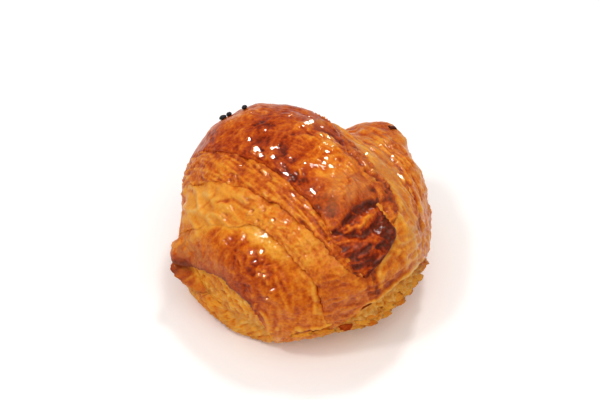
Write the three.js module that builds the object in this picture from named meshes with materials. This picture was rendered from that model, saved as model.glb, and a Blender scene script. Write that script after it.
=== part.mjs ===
// A small plump butter croissant with a few black sesame seeds on its glaze.
// Millimetres, +Z up. The dough is rolled about the X axis. The pointed end of the last turn
// lies on the front, which is the -Y side. The origin is under the middle, on the resting face.
import * as THREE from 'three';
import { mergeVertices } from 'three/addons/utils/BufferGeometryUtils.js';

// ---- driving dimensions of the baked roll ----
const LENGTH = 107;            // end to end along the roll
const RINGS = 60;              // sections along the roll
const SIDES = 68;              // points round each section
const STATIONS = [-53.5, -42, -26, -8, 10, 26, 38, 48, 53.5];   // places along the roll
const FRONT = [25, 35, 46, 56, 55, 48, 38, 34, 32];             // half width towards -Y
const BACK = [33, 39, 53, 60, 58, 50, 37, 29, 23];              // half width towards +Y
const TOP = [38, 49, 61, 68, 69, 62, 55, 56, 53];               // height above the table
const AXIS_HEIGHT = 0.42;      // height of the widest place, as a part of the local height
const ROUND_FRONT = 2.3;       // superellipse powers: front shoulder, back shoulder, underside
const ROUND_BACK = 2.8;
const ROUND_UNDER = 3.0;
const UNDER_PRESS = 1.05;      // over 1 squashes the underside flat against the table
const LEFT_NOSE = 13;          // length of the rounding at each end
const RIGHT_NOSE = 19;
const NOSE_POWER = 2.5;

// ---- turns of dough: where each turn's border runs, by degrees from the top to the front ----
const TURN_STEP = { lip: 1.1, crease: 1.3, fade: 7, slope: 1.6 };
const LEFT_BORDERS = [
  [[-90, -19], [-26, -18.5], [35, -16], [70, -13]],
  [[-90, -36], [-40, -34], [0, -27], [33, -20.5], [70, -15]],
  [[-90, -48], [-18, -42.5], [0, -34.5], [30, -32], [78, -28.5], [100, -23]],
];
const RIGHT_BORDERS = [
  [[-90, 32], [-5, 21.5], [26, 14.5], [58, 8.5], [70, -9]],
  [[-90, 38], [5, 30.5], [32, 29.5], [74, 22.5], [100, 20]],
];
const TONGUE_STEP = { angle: 36, lip: 1.2, fade: 14 };   // the last turn's end drops one step
const STEP_END = { start: 95, stop: 120 };               // borders fade out towards the underside

// ---- black sesame seeds ----
const SEED = { length: 3.3, width: 2.1, thickness: 1.1, tip: 0.32, segments: 10 };
const SEED_GAP = 0.3;
const SEEDS = [
  { name: 'sesame_seed_1', along: -3.5, angle: -57, turn: 20 },
  { name: 'sesame_seed_2', along: -1.0, angle: -50, turn: 75 },
  { name: 'sesame_seed_3', along: -5.2, angle: -50, turn: -40 },
  { name: 'sesame_seed_4', along: 5.5, angle: -49, turn: 50 },
];

function material(colour, roughness) {
  return new THREE.MeshStandardMaterial({ color: colour, roughness, metalness: 0 });
}

// A smooth curve through values given at places.
function curveThrough(places, values) {
  const curve = new THREE.CubicInterpolant(places, values, 1, new Float64Array(1));
  return (place) => curve.evaluate(THREE.MathUtils.clamp(place, places[0], places.at(-1)))[0];
}

const frontWidth = curveThrough(STATIONS, FRONT);
const backWidth = curveThrough(STATIONS, BACK);
const topHeight = curveThrough(STATIONS, TOP);

function borderCurve(points) {
  return curveThrough(points.map((point) => point[0]), points.map((point) => point[1]));
}

const leftBorders = LEFT_BORDERS.map(borderCurve);
const rightBorders = RIGHT_BORDERS.map(borderCurve);

// How far the section has grown from the nose: 0 at an end of the roll, 1 past its rounding.
function noseFactor(along) {
  const left = (along + LENGTH / 2) / LEFT_NOSE;
  const right = (LENGTH / 2 - along) / RIGHT_NOSE;
  const reach = THREE.MathUtils.clamp(Math.min(left, right), 0, 1);
  return (1 - (1 - reach) ** NOSE_POWER) ** (1 / NOSE_POWER);
}

// A border stands up as a lip on its own turn and presses a crease into the turn below.
function borderStep(inside) {
  const { lip, crease, fade, slope } = TURN_STEP;
  const side = Math.tanh(inside / slope);
  const size = ((lip + crease) * side + lip - crease) / 2;
  return size * Math.exp(-Math.abs(inside) / fade);
}

function layerHeight(along, degrees) {
  let height = 0;
  for (const border of leftBorders) height += borderStep(along - border(degrees));
  for (const border of rightBorders) height += borderStep(border(degrees) - along);
  const onTongue = along > leftBorders[0](degrees) && along < rightBorders[0](degrees);
  const past = degrees - TONGUE_STEP.angle;
  if (onTongue && past > 0) height -= TONGUE_STEP.lip * Math.exp(-past / TONGUE_STEP.fade);
  return height * (1 - THREE.MathUtils.smoothstep(Math.abs(degrees), STEP_END.start, STEP_END.stop));
}

function signedPower(value, power) {
  return Math.sign(value) * Math.abs(value) ** power;
}

// A point of the crust: along the roll, and degrees from the top towards the front.
function crustPoint(along, degrees) {
  const angle = THREE.MathUtils.degToRad(degrees);
  const up = Math.cos(angle);
  const forward = Math.sin(angle);
  const nose = noseFactor(along);
  const top = topHeight(along);
  const axisHeight = AXIS_HEIGHT * top;
  const shoulder = forward > 0 ? ROUND_FRONT : ROUND_BACK;
  const power = 2 / (up > 0 ? shoulder : ROUND_UNDER);
  const halfWidth = (frontWidth(along) + backWidth(along)) / 2;
  const middle = (backWidth(along) - frontWidth(along)) / 2;
  const reach = up > 0 ? top - axisHeight : axisHeight * UNDER_PRESS;
  const y = -halfWidth * nose * signedPower(forward, power);
  const z = reach * nose * signedPower(up, power);
  const radius = Math.hypot(y, z);
  const grow = radius > 0 ? 1 + (nose * layerHeight(along, degrees)) / radius : 1;
  return new THREE.Vector3(along, middle + y * grow, Math.max(0, axisHeight + z * grow));
}

function weldedClosed(geometry) {
  geometry.deleteAttribute('normal');
  geometry.deleteAttribute('uv');
  const welded = mergeVertices(geometry, 1e-4);
  welded.computeVertexNormals();
  return welded;
}

// The roll starts as a ball with its poles on X, and each of its points moves out to the crust.
function rollGeometry() {
  const ball = new THREE.SphereGeometry(1, SIDES, RINGS);
  ball.rotateZ(Math.PI / 2);
  const points = ball.attributes.position;
  const point = new THREE.Vector3();
  for (let i = 0; i < points.count; i++) {
    point.fromBufferAttribute(points, i);
    const degrees = THREE.MathUtils.radToDeg(Math.atan2(-point.y, point.z));
    const along = (point.x * LENGTH) / 2;
    points.setXYZ(i, ...crustPoint(along, degrees));
  }
  return weldedClosed(ball);
}

// A seed is a turned drop, pointed at one end, then pressed flat.
function seedGeometry() {
  const half = SEED.length / 2;
  const profile = [
    new THREE.Vector2(0, -half),
    new THREE.Vector2(0.62, -0.72 * half),
    new THREE.Vector2(1, -0.1 * half),
    new THREE.Vector2(0.72, 0.55 * half),
    new THREE.Vector2(SEED.tip, 0.9 * half),
    new THREE.Vector2(0, half),
  ];
  const drop = new THREE.LatheGeometry(profile, SEED.segments);
  drop.scale(SEED.width / 2, 1, SEED.thickness / 2);
  return weldedClosed(drop);
}

// The crust's outward direction, from its slopes along and round the roll.
function crustNormal(along, degrees) {
  const step = 1.5;
  const alongRoll = crustPoint(along + step, degrees).sub(crustPoint(along - step, degrees));
  const roundRoll = crustPoint(along, degrees + step).sub(crustPoint(along, degrees - step));
  return roundRoll.cross(alongRoll).normalize();
}

function seedMesh(seed, centre) {
  const mesh = new THREE.Mesh(seedGeometry(), material(0x16161a, 0.4));
  mesh.name = seed.name;
  const normal = crustNormal(seed.along, seed.angle);
  mesh.quaternion.setFromUnitVectors(new THREE.Vector3(0, 0, 1), normal);
  mesh.rotateZ(THREE.MathUtils.degToRad(seed.turn));
  const lift = SEED.thickness / 2 + SEED_GAP;
  mesh.position.copy(crustPoint(seed.along, seed.angle)).addScaledVector(normal, lift).sub(centre);
  return mesh;
}

function croissant() {
  const group = new THREE.Group();
  const crust = rollGeometry();
  crust.computeBoundingBox();
  const centre = crust.boundingBox.getCenter(new THREE.Vector3()).setZ(0);
  crust.translate(-centre.x, -centre.y, 0);
  const roll = new THREE.Mesh(crust, material(0xc9781e, 0.4));
  roll.name = 'croissant';
  group.add(roll);
  for (const seed of SEEDS) group.add(seedMesh(seed, centre));
  return group;
}

export default croissant();
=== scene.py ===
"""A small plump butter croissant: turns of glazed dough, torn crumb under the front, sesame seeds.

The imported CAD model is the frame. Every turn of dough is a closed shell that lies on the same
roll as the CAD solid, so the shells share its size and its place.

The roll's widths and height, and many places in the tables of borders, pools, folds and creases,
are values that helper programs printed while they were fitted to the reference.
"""

import math

import bpy
import numpy as np
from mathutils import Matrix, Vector


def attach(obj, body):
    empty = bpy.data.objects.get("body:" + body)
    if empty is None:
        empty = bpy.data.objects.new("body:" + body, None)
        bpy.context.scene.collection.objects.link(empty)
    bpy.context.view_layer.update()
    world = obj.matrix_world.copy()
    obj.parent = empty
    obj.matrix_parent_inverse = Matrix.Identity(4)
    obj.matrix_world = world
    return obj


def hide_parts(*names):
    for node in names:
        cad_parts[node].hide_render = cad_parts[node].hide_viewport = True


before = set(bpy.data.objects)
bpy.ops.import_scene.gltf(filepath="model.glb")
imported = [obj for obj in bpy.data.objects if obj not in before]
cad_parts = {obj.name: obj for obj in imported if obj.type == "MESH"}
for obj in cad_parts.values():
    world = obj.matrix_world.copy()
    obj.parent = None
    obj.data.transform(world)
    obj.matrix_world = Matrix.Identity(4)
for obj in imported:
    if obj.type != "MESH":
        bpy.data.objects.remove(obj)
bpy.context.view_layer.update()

MM = 0.001

# ---- the baked roll, in millimetres: the same driving sizes as the CAD solid ----
LENGTH = 107.0
HALF_GIRTH = 85.0            # from the middle of the roll to a pole, along the crust
STATIONS = [-53.5, -42, -26, -8, 10, 26, 38, 48, 53.5]
FRONT = [25, 35, 46, 56, 55, 48, 38, 34, 32]
BACK = [33, 39, 53, 60, 58, 50, 37, 29, 23]
TOP = [38, 49, 61, 68, 69, 62, 55, 56, 53]
AXIS_HEIGHT = 0.42
ROUND_FRONT, ROUND_BACK, ROUND_UNDER = 2.3, 2.8, 3.0
UNDER_PRESS = 1.05
LEFT_NOSE, RIGHT_NOSE, NOSE_POWER = 13.0, 19.0, 2.5
ROLL_RADIUS = 46.0           # a middle radius, which turns degrees into millimetres
DEGREE = math.radians(1) * ROLL_RADIUS

# ---- borders of the turns: (degrees from the top to the front, mm from the middle) ----
CROWN_LEFT = [(-180, -24), (-90, -25), (-46, -24.5), (-29, -22.5), (-14, -18.6), (-2, -15.2), (8, -15),
              (24, -14.4), (33, -15), (38, -17.4), (52, -17.2), (62, -15.4), (70, -11.5)]
CROWN_RIGHT = [(-180, 34), (-90, 33), (-40, 30), (-8, 27), (-2, 24.5), (5, 19), (11, 15), (20, 13.8),
               (28, 13.4), (32, 12.6), (38, 12), (44, 11.4), (50, 11), (56, 10.4), (59, 8), (62, 5),
               (64, -1.5), (67, -8), (70, -11)]
SECOND_LEFT = [(-180, -42), (-65, -40), (-33, -38.3), (-12, -32.2), (-2, -28.6), (3, -26.5), (12, -24.1),
               (23, -23), (30, -21.7), (40, -20.1), (52, -19.5), (62, -17), (68, -13)]
SECOND_RIGHT = [(-180, 38), (-60, 35), (-10, 29), (4, 24.5), (8, 23.5), (20, 20.8), (30, 21.5),
                (36, 20.3), (45, 18.4), (50, 12), (60, 2), (68, -9)]
THIRD_LEFT = [(-180, -52), (-90, -62), (-50, -62), (-22, -57.5), (-12, -51), (-4, -44.8), (1, -38.5),
              (6, -36.3), (20, -34.2), (38, -33.4), (48, -31), (58, -30.2), (80, -30), (94, -25)]
THIRD_RIGHT = [(-180, 42), (-60, 38), (-4, 36.5), (10, 41), (20, 41), (27, 40), (38, 36), (51, 33.8),
               (62, 30.6), (75, 27.4), (94, 26)]
END_LEFT = [(-180, -44), (-130, -52), (-97, -65), (-90, -69), (-47, -76), (-8, -74.8), (11, -71.1),
            (22, -69.1), (37, -68.3), (51, -65.4), (64, -62.2), (90, -59.4), (100, -56), (140, -46),
            (180, -44)]
END_RIGHT = [(-180, 44), (-120, 52), (-80, 64), (0, 70), (60, 64), (90, 52), (111, 46), (180, 44)]
LEDGE = [(-26, 99), (-21, 96), (-16, 91), (-7, 87), (8, 85), (17, 87), (26, 88), (34, 90)]


# ---- the view and the lamps: lamps are azimuth, elevation, distance in m, size in m, power in W ----
VIEW_AZIMUTH, VIEW_ELEVATION = -40.0, 46.0
VIEW_DISTANCE = 0.62
VIEW_AIM = Vector((-0.0045, -0.0033, 0.032))
VIEW_RAISE = 0.010           # metres that the camera aims higher, so the roll sits lower in the view
LAMP_AIM = Vector((0, 0, 0.03))
VIEW_WIDTH = 0.26087         # metres across the view at the aim


def view_axes(azimuth, elevation):
    a, e = math.radians(azimuth), math.radians(elevation)
    back = Vector((math.sin(a) * math.cos(e), -math.cos(a) * math.cos(e), math.sin(e)))
    up = Vector((-math.sin(e) * math.sin(a), math.sin(e) * math.cos(a), math.cos(e)))
    return back, up


def lamp_place(lamp):
    return LAMP_AIM + view_axes(lamp[0], lamp[1])[0] * lamp[2]


LAMPS = {
    "window": (118, 62, 0.9, (0.12, 0.10), 1.9),
    "ceiling_spot": (-108, 62, 0.9, (0.12, 0.09), 1.4),
    "overhead": (-60, 78, 1.3, (1.8, 1.6), 4.8),
    "side_fill": (-75, 38, 1.2, (1.4, 1.2), 1.4),
    "front_fill": (-15, 62, 1.2, (1.4, 1.2), 3.2),
}
VIEW_PLACE = VIEW_AIM + view_axes(VIEW_AZIMUTH, VIEW_ELEVATION)[0] * VIEW_DISTANCE


# ======================= repeatable noise =======================
def scramble(i, j, k, seed):
    """One whole number for each corner of a lattice."""
    mask = np.uint64(0xFFFFFFFF)
    h = (i * 374761393 + j * 668265263 + k * 1103515245 + seed * 974711).astype(np.uint64) & mask
    h = ((h ^ (h >> np.uint64(13))) * np.uint64(1274126177)) & mask
    return h ^ (h >> np.uint64(16))


def corner_vector(i, j, k, seed):
    """Three numbers from -1 to 1 for each corner of a lattice."""
    h = scramble(i, j, k, seed)
    parts = [((h >> np.uint64(shift)) & np.uint64(1023)).astype(float) / 511.5 - 1 for shift in (0, 10, 20)]
    return np.stack(parts, -1)


def noise(points, seed):
    """Smooth noise, about -1 to 1, with one swell for each unit of length."""
    base = np.floor(points).astype(np.int64)
    part = points - base
    ease = part ** 3 * (part * (part * 6 - 15) + 10)
    total = np.zeros(points.shape[:-1])
    for corner in np.ndindex(2, 2, 2):
        at = base + np.array(corner)
        slope = corner_vector(at[..., 0], at[..., 1], at[..., 2], seed)
        weight = np.prod(np.where(np.array(corner) == 1, ease, 1 - ease), axis=-1)
        total += weight * np.sum(slope * (part - np.array(corner)), axis=-1)
    return total * 1.4


def rough(points, size, seed, octaves=3):
    """Noise with finer noise on it. size is the largest swell in mm."""
    total = np.zeros(points.shape[:-1])
    for octave in range(octaves):
        total += noise(points * 2.0 ** octave / size, seed + octave) / 2.0 ** octave
    return total


def domes(points, size, seed):
    """Round blisters from 0 to 1 with valleys between them."""
    grid = points / size
    base = np.floor(grid).astype(np.int64)
    nearest = np.full(points.shape[:-1], 9.0)
    for step in np.ndindex(3, 3, 3):
        at = base + np.array(step) - 1
        middle = at + 0.5 + 0.45 * corner_vector(at[..., 0], at[..., 1], at[..., 2], seed)
        nearest = np.minimum(nearest, np.sum((grid - middle) ** 2, axis=-1))
    return np.clip(1 - nearest / 0.6, 0, 1)


def folds(q, degrees, size_along, size_round, seed):
    """Sharp wrinkles from 0 to 1. They run round the roll where size_round is the larger."""
    angle = np.radians(degrees)
    points = np.stack([q / size_along, ROLL_RADIUS * np.sin(angle) / size_round,
                       ROLL_RADIUS * np.cos(angle) / size_round], -1)
    return np.clip(1 - 2.4 * np.abs(noise(points, seed)), 0, 1)


def crinkle(points, size, seed):
    """Crumpled skin from 0 to 1: thin ridges that wander, with finer ones on them."""
    grid = points / size
    bend = np.stack([noise(grid * 0.6, seed + n) for n in range(3)], -1)
    grid = grid + 0.9 * bend
    large = 1 - np.minimum(1, 2.2 * np.abs(noise(grid, seed + 3)))
    small = 1 - np.minimum(1, 2.2 * np.abs(noise(grid * 2.3, seed + 4)))
    return (large ** 1.5 + 0.45 * small ** 1.5) / 1.45


# ======================= the shape of the roll =======================
def smooth_table(places, values, softness):
    """A function that follows the values at the places with rounded corners."""
    step = 0.25
    low, high = min(places) - 4 * softness, max(places) + 4 * softness
    fine = np.arange(low, high + step, step)
    reach = int(3 * softness / step)
    kernel = np.exp(-0.5 * (np.arange(-reach, reach + 1) * step / softness) ** 2)
    padded = np.pad(np.interp(fine, places, values), reach, mode="edge")
    softened = np.convolve(padded, kernel / kernel.sum(), "valid")
    return lambda place: np.interp(place, fine, softened)


STATION_SOFTNESS = 3.0
front_width = smooth_table(STATIONS, FRONT, STATION_SOFTNESS)
back_width = smooth_table(STATIONS, BACK, STATION_SOFTNESS)
top_height = smooth_table(STATIONS, TOP, STATION_SOFTNESS)


def signed_power(value, power):
    return np.sign(value) * np.abs(value) ** power


def smooth_crust(q, degrees):
    """The plain crust. q is millimetres along it from the middle, degrees from the top to the front."""
    x = 0.5 * LENGTH * np.sin(0.5 * np.pi * np.clip(q / HALF_GIRTH, -1, 1))
    reach = np.minimum((x + LENGTH / 2) / LEFT_NOSE, (LENGTH / 2 - x) / RIGHT_NOSE)
    nose = (1 - (1 - np.clip(reach, 0, 1)) ** NOSE_POWER) ** (1 / NOSE_POWER)
    up, forward = np.cos(np.radians(degrees)), np.sin(np.radians(degrees))
    top = top_height(x)
    axis = AXIS_HEIGHT * top
    shoulder = np.where(forward > 0, ROUND_FRONT, ROUND_BACK)
    power = 2 / np.where(up > 0, shoulder, ROUND_UNDER)
    half_width = (front_width(x) + back_width(x)) / 2
    rise = np.where(up > 0, top - axis, axis * UNDER_PRESS)
    y = (back_width(x) - front_width(x)) / 2 - half_width * nose * signed_power(forward, power)
    z = axis + rise * nose * signed_power(up, power)
    return np.stack(np.broadcast_arrays(x, y, z), -1)


def outward(q, degrees):
    """The crust's outward direction."""
    step = 0.8
    q = np.clip(q, -HALF_GIRTH + 1.5 * step, HALF_GIRTH - 1.5 * step)
    along = smooth_crust(q + step, degrees) - smooth_crust(q - step, degrees)
    turn = smooth_crust(q, degrees + step) - smooth_crust(q, degrees - step)
    normal = np.cross(turn, along)
    return normal / np.linalg.norm(normal, axis=-1, keepdims=True)


def crust_centre():
    """The middle of the plain crust's box, which the CAD puts over the origin."""
    q, degrees = np.meshgrid(np.linspace(-84, 84, 120), np.arange(-180, 180, 3.0), indexing="ij")
    points = smooth_crust(q, degrees)
    return (points.min(axis=(0, 1)) + points.max(axis=(0, 1))) / 2 * np.array([1, 1, 0])


CENTRE = crust_centre()


def spot(q, degrees, at, size):
    """1 at a place on the crust, and less round it. size is in mm along and degrees round."""
    return np.exp(-((q - at[0]) / size[0]) ** 2 - ((degrees - at[1]) / size[1]) ** 2)


# Where the real roll is fuller or leaner than the plain one: place, spread, millimetres.
SWELLS = [
    ((-14, -62), (18, 26), -0.9),
    ((-52, -78), (13, 34), -4.0),
    ((44, -55), (11, 42), -10.0),
    ((65, -20), (9, 30), 8.0),
    ((50, 16), (12, 24), 0.5),
    ((-20, 70), (14, 18), 0.8),
    ((-62, 118), (13, 28), -4.5),
    ((29, 77), (3.5, 5), -1.8),
]


def mounds(q, degrees, table):
    """The sum of soft rounded spots: each has its place, its spread and its amount."""
    return sum(amount * spot(q, degrees, at, spread) for at, spread, amount in table)


def hump(distance, middle, width):
    """1 where the distance is the middle one, and less on both sides of it."""
    return np.exp(-((distance - middle) / width) ** 2)


# ======================= shells =======================
def border(points, ragged, seed):
    """A border as a function of the degrees, with a ragged edge of some tenths of a mm."""
    curve = smooth_table([p[0] for p in points], [p[1] for p in points], 2.0)

    def place(degrees):
        along = np.stack([degrees * DEGREE / 4.0, np.full_like(degrees, seed), np.zeros_like(degrees)], -1)
        fine = 0.7 * noise(along * 2.1, seed + 1) + 0.2 * noise(along * 5.7, seed + 2)
        return curve(degrees) + ragged * (noise(along, seed) + fine)
    return place


def lay(q, degrees, height):
    """Points at a height over the plain crust, in metres in the row frame, never under the table."""
    points = smooth_crust(q, degrees) + outward(q, degrees) * (height + mounds(q, degrees, SWELLS))[..., None]
    points = points - CENTRE
    points[..., 2] = np.maximum(points[..., 2], 0.0)
    return points * MM


def mesh_piece(name, points, faces, paint):
    """A mesh object, with the paint as one number for each point."""
    mesh = bpy.data.meshes.new(name)
    mesh.from_pydata(points.reshape(-1, 3).tolist(), [], faces)
    for key, values in paint.items():
        attribute = mesh.attributes.new(key, "FLOAT", "POINT")
        attribute.data.foreach_set("value", np.ascontiguousarray(values, dtype=np.float32).ravel())
    mesh.polygons.foreach_set("use_smooth", np.ones(len(mesh.polygons), dtype=bool))
    mesh.update()
    piece = bpy.data.objects.new(name, mesh)
    bpy.context.scene.collection.objects.link(piece)
    return piece


def ring_faces(rings, sides, close_round):
    """Quads between neighbour rings, and a cap on each end unless the rings close round."""
    ring, side = np.meshgrid(np.arange(rings if close_round else rings - 1), np.arange(sides), indexing="ij")
    after, beside = (ring + 1) % rings, (side + 1) % sides
    quads = np.stack([ring * sides + side, ring * sides + beside,
                      after * sides + beside, after * sides + side], -1).reshape(-1, 4)
    faces = quads.tolist()
    if not close_round:
        faces.append(list(range(sides))[::-1])
        faces.append(list(range((rings - 1) * sides, rings * sides)))
    return faces


HIDDEN_MARGIN = 4.0          # how far a turn keeps its fine mesh under the turn on top of it
UNDER_LIP_ROWS, LIP_ROWS, HIDDEN_ROWS = 10, 13, 14


def shell(name, left, right, span, height, paint, lip, soft=1.0, cover=None, ledge=None, spacing=0.5):
    """A turn of dough from its left border to its right one, as one closed solid.

    span is its degrees round the roll, lip the thickness of its rounded left and right edges, soft
    how much longer than thick they are, cover the borders of the turn on top of it, which hides its
    middle, and ledge the degrees where its front edge runs.
    """
    start, stop = span
    closed = stop - start >= 360
    rings = int((stop - start) * DEGREE / spacing)
    share = np.linspace(0, 1, rings, endpoint=not closed)
    plain = start + (stop - start) * share
    low, high = left(plain), right(plain)
    room = 0.42 * np.maximum(high - low, 0.02)
    wide = [np.minimum(size / 2 * soft, room) for size in lip]
    thick = [size / soft for size in wide]
    low, high = low + wide[0], np.maximum(high - wide[1], low + wide[0])
    if cover is None:
        middle = np.linspace(0, 1, int(np.median(high - low) / spacing))[:, None]
        outer = low + (high - low) * middle
    else:
        inner_low = np.clip(cover[0](plain) + HIDDEN_MARGIN, low, high)
        inner_high = np.clip(cover[1](plain) - HIDDEN_MARGIN, inner_low, high)
        count_low = max(4, int(np.percentile(inner_low - low, 80) / spacing))
        count_high = max(4, int(np.percentile(high - inner_high, 80) / spacing))
        outer = np.concatenate([
            low + (inner_low - low) * np.linspace(0, 1, count_low)[:, None],
            inner_low + (inner_high - inner_low) * np.linspace(0, 1, HIDDEN_ROWS)[1:-1, None],
            inner_high + (high - inner_high) * np.linspace(0, 1, count_high)[:, None]])
    turn = np.radians(np.linspace(90, -90, LIP_ROWS))[1:-1, None]
    across = np.linspace(0, 1, UNDER_LIP_ROWS)[:, None]
    right_lip, left_lip = high + wide[1] * np.cos(turn), low - wide[0] * np.cos(turn[::-1])
    under = high + (low - high) * across
    q = np.concatenate([outer, right_lip, under, left_lip])
    zero = np.zeros_like(outer)
    under_depth = 2 * (thick[1] + (thick[0] - thick[1]) * across)
    right_depth, left_depth = thick[1] * (1 - np.sin(turn)), thick[0] * (1 - np.sin(turn[::-1]))
    depth = np.concatenate([zero, right_depth, under_depth, left_depth])
    edge = np.concatenate([zero, np.ones_like(right_lip), np.ones_like(under), np.ones_like(left_lip)])
    degrees = np.broadcast_to(plain, q.shape)
    if ledge is not None:
        degrees = start + (ledge(q) - start) * share
    if not closed:
        to_end = np.minimum(share, 1 - share) * (stop - start) * DEGREE
        end = max(lip) / 2
        keep = np.sqrt(1 - np.clip(1 - to_end / end, 0, 0.95) ** 2)
        depth = end + (depth - end) * keep
        edge = np.maximum(edge, np.clip(1 - to_end / end, 0, 1))
    from_left, from_right = q - low + wide[0], high + wide[1] - q
    facts = {"q": q, "degrees": degrees, "left": from_left, "right": from_right, "edge": edge}
    facts["at"] = smooth_crust(q, degrees)
    lift = height(facts)
    points = lay(q, degrees, lift - depth)
    colours = paint(facts)
    # the bake gets painted shade in the hollows and painted light on the raised skin
    colours["bake"] = paint_relief_shade(colours["bake"], lift)
    colours = {key: value.T for key, value in colours.items()}
    return mesh_piece(name, points.transpose(1, 0, 2), ring_faces(rings, q.shape[0], closed), colours)


def whole_roll(name, height, paint, spacing):
    """The roll from pole to pole, as one closed solid."""
    rings = int(2 * HALF_GIRTH / spacing)
    sides = int(360 * DEGREE / spacing)
    q = np.linspace(0.3 - HALF_GIRTH, HALF_GIRTH - 0.3, rings)[:, None]
    degrees = np.linspace(-180, 180, sides, endpoint=False)[None, :]
    q, degrees = np.broadcast_arrays(q, degrees)
    facts = {"q": q, "degrees": degrees, "at": smooth_crust(q, degrees), "edge": np.zeros_like(q)}
    lift = height(facts)
    colours = paint(facts)
    # the bake gets painted shade in the hollows and painted light on the raised skin
    colours["bake"] = paint_relief_shade(colours["bake"], lift)
    faces = [face[::-1] for face in ring_faces(rings, sides, False)]
    return mesh_piece(name, lay(q, degrees, lift), faces, colours)


def soften(grid, reach):
    """The mean of a grid over a square of neighbours."""
    for axis in (0, 1):
        grid = np.moveaxis(grid, axis, 0)
        padded = np.concatenate([grid[reach:0:-1], grid, grid[-2:-reach - 2:-1]])
        total = np.cumsum(np.concatenate([np.zeros_like(padded[:1]), padded]), axis=0)
        span = 2 * reach + 1
        grid = np.moveaxis((total[span:] - total[:-span]) / span, 0, axis)
    return grid


DARKEST_BAKE = 0.88          # the darkest bake, so that a hollow never turns black under its painted shade


def paint_relief_shade(bake, height):
    """Painted shade and light from the relief: hollows are painted darker and raised skin paler, where shade
    and light would fall.
    """
    fine = height - soften(height, 3)
    broad = height - soften(height, 10)
    change = 0.27 * np.clip(fine, -0.35, 0.25) + 0.10 * np.clip(broad, -0.9, 0.7)
    return np.clip(bake - change, 0, DARKEST_BAKE)


def fade(distance, length):
    """1 on a border, and less with distance from it."""
    return np.exp(-np.abs(distance) / length)


SINK_SLOPE, SINK_REACH = 0.45, 8.0


def under_cover(facts, cover, crease, length):
    """How a turn is pressed down beside the turn on top of it, and sinks on under it."""
    depth = 0
    press = crease * (0.35 + 0.65 * broken(facts["at"], 161, 12))
    for side, edge in ((1, cover[0](facts["degrees"])), (-1, cover[1](facts["degrees"]))):
        inside = side * (facts["q"] - edge)
        depth = depth + press * np.where(inside < 0, fade(inside, length), 1)
    from_cover = np.minimum(facts["q"] - cover[0](facts["degrees"]), cover[1](facts["degrees"]) - facts["q"])
    return -depth - SINK_SLOPE * np.clip(from_cover, 0, SINK_REACH)


def between(value, low, high):
    """0 under low and 1 over high, with a smooth change."""
    part = np.clip((value - low) / (high - low), 0, 1)
    return part * part * (3 - 2 * part)


def grooves(distance, width, seed_points):
    """Fine lines of lamination that run along a border."""
    wander = 1.5 * noise(seed_points / 6.0, 77) + 0.5 * noise(seed_points / 2.5, 78)
    shown = between(noise(seed_points / 4.0, 79), -0.3, 0.4)
    return shown * np.cos(2 * np.pi * (distance / width + wander)) * fade(distance, 2.5)


crown_left = border(CROWN_LEFT, 0.8, 3)
crown_right = border(CROWN_RIGHT, 0.7, 5)
second_left = border(SECOND_LEFT, 1.0, 7)
second_right = border(SECOND_RIGHT, 1.1, 9)
third_left = border(THIRD_LEFT, 0.8, 11)
third_right = border(THIRD_RIGHT, 0.8, 13)
end_left = border(END_LEFT, 0.8, 15)
end_right = border(END_RIGHT, 0.5, 17)
ledge_line = smooth_table([p[0] for p in LEDGE], [p[1] for p in LEDGE], 2.5)


# ======================= heights and paint of each turn =======================
# Small pools where the glaze has set flat: mm along, degrees, spread along, spread round.
CROWN_POOLS = [
    (-10.7, -16, 1.1, 1.3), (-12.7, -9, 1.9, 2.2), (-13.2, -6.2, 0.9, 1.5), (-7.7, -5, 1.5, 1.0),
    (-10.7, -2.7, 1.0, 1.0), (10.7, -16, 1.4, 0.9), (10.7, -7, 1.1, 0.9), (13, -7.7, 1.5, 1.2),
    (15.2, -8.3, 1.3, 1.3), (-10.6, 0, 0.9, 0.9), (-11.8, 0.8, 0.9, 1.0), (-12.2, 2.2, 0.9, 1.0),
    (-11.8, 3.8, 0.9, 1.0), (-11.2, 5, 0.8, 0.9), (-9.7, 5.3, 0.7, 1.0), (-10.2, 15.2, 1.0, 1.1),
    (-10.2, 16.8, 0.8, 1.0), (10.9, 3.9, 1.3, 0.8), (12.2, -1, 0.7, 1.1), (9.7, 2, 0.6, 1.5),
    (7, 5, 0.7, 1.3), (13.7, 0, 0.8, 1.0), (2.2, 8, 1.1, 1.0), (4.7, 7, 0.9, 0.8), (-6.2, 0, 1.0, 0.8),
    (-7.2, -34, 0.8, 0.9), (1.7, -33, 0.8, 0.9), (-3.2, -14, 0.8, 0.8), (-0.7, -20, 1.0, 0.7),
    (-3.7, 4, 0.8, 0.8), (3.2, 11, 0.8, 0.9), (19.2, -14, 0.8, 0.8),
]
SECOND_POOLS = [
    (-17.2, -20, 1.1, 1.0), (-15.2, -13, 1.1, 0.9), (-17.7, -1, 0.8, 1.5), (-27.2, -8, 1.1, 1.1),
    (-30.2, -10, 1.0, 1.0), (-17.2, -4, 0.9, 1.0), (-21.7, -10, 1.0, 1.0), (-22.7, -22, 1.1, 1.0),
    (-17.2, 12, 0.8, 1.8), (-16.2, 20, 0.8, 1.8), (-24.2, 4, 0.9, 0.9), (25.7, 11, 1.1, 1.1),
    (17.7, 17, 1.0, 1.2), (15.2, 25, 0.9, 1.2), (18.7, 9, 0.9, 1.0),
]
THIRD_POOLS = [
    (-31.7, 0, 1.2, 0.9), (-28.7, 1, 0.9, 0.9), (-34.1, 4, 1.3, 1.1), (-30.2, 8, 1.0, 0.9),
    (-30.2, 16, 1.1, 1.1), (-26.7, 21, 1.0, 1.1), (-43.1, -3, 1.1, 1.0), (-35.3, 10, 1.0, 1.0),
    (34.4, 31.2, 1.0, 3.4), (33.7, 1, 1.0, 1.1), (25.7, 11, 1.4, 1.1), (28, 21, 0.8, 1.0),
]
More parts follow.
